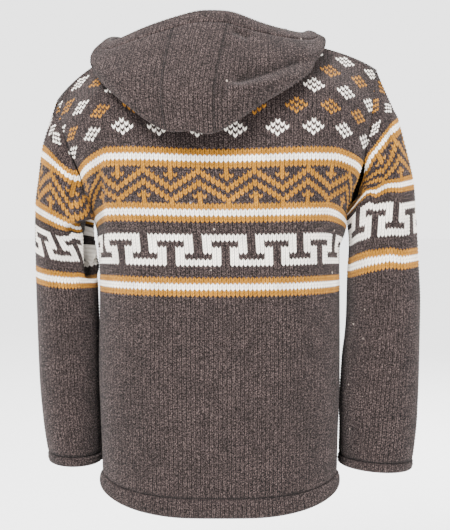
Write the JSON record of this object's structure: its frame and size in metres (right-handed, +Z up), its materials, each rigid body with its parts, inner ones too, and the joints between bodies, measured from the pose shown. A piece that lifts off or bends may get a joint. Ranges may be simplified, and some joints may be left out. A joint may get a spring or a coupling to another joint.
{
  "type": "hooded knitted wool jacket",
  "caption": "Hooded hand-knitted wool jacket with a front zip, hollow as worn, its hood folded down over the back",
  "frame": {"origin": "on the shoulder line at the neck, midway between the two neck points, where the wearer's shoulders hold the jacket up", "axes": "+Z up, the front faces -Y, the wearer's left is +X"},
  "size_m": [0.6245, 0.3102, 0.7837],
  "materials": {
    "heather_wool": "matte bulky knitted wool, brown grey with flecks, banded in gold and off-white",
    "zip_tape": "matte woven tape",
    "antique_brass": "dull antique brass"
  },
  "bodies": {
    "garment": {"back": "heather_wool", "front_left": "heather_wool", "front_right": "heather_wool", "sleeve_left": "heather_wool", "sleeve_right": "heather_wool", "hem_band": "heather_wool", "cuff_left": "heather_wool", "cuff_right": "heather_wool", "hood_left": "heather_wool", "hood_centre": "heather_wool", "hood_right": "heather_wool", "hood_rim": "heather_wool", "zip_tape_left": "zip_tape", "zip_tape_right": "zip_tape", "zip_chain": "antique_brass", "zip_slider": "antique_brass"},
    "pull": {"zip_pull": "antique_brass"}
  },
  "joints": [
    {"name": "pull_hinge", "type": "hinge", "parent": "garment", "child": "pull", "pos_m": [0, -0.10384, -0.09176], "axis": [-1, 0, 0], "range_deg": [0, 150]}
  ]
}
